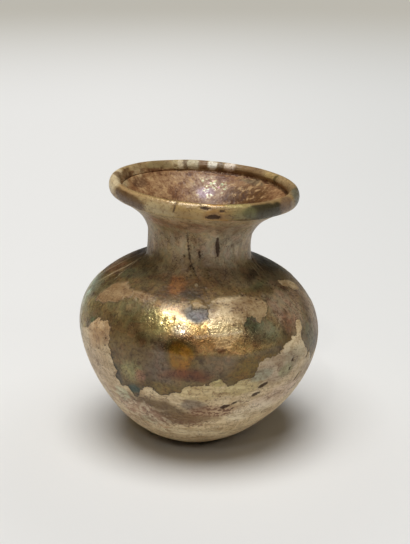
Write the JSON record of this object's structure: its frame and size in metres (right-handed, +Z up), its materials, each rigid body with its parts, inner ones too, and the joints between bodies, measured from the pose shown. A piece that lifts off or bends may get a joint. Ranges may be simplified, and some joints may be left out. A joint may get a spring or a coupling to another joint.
{
  "type": "globular glass vase",
  "caption": "Small ball-shaped blown-glass vase with a short neck and a flared, folded rim, under a tan crust and patches of gold iridescence.",
  "frame": {"origin": "centre of the flat underside", "axes": "+Z up through the mouth, +X to the right as the picture shows it, the side that the rings and the mouth slope down to, +Y away from the viewer"},
  "size_m": [0.08, 0.08, 0.0908],
  "materials": {
    "weathered_glass": "opaque weathered glass: matte tan crust, flaked away to smooth olive and gold iridescence"
  },
  "bodies": {
    "root": {"glass_vase": "weathered_glass"}
  },
  "joints": []
}
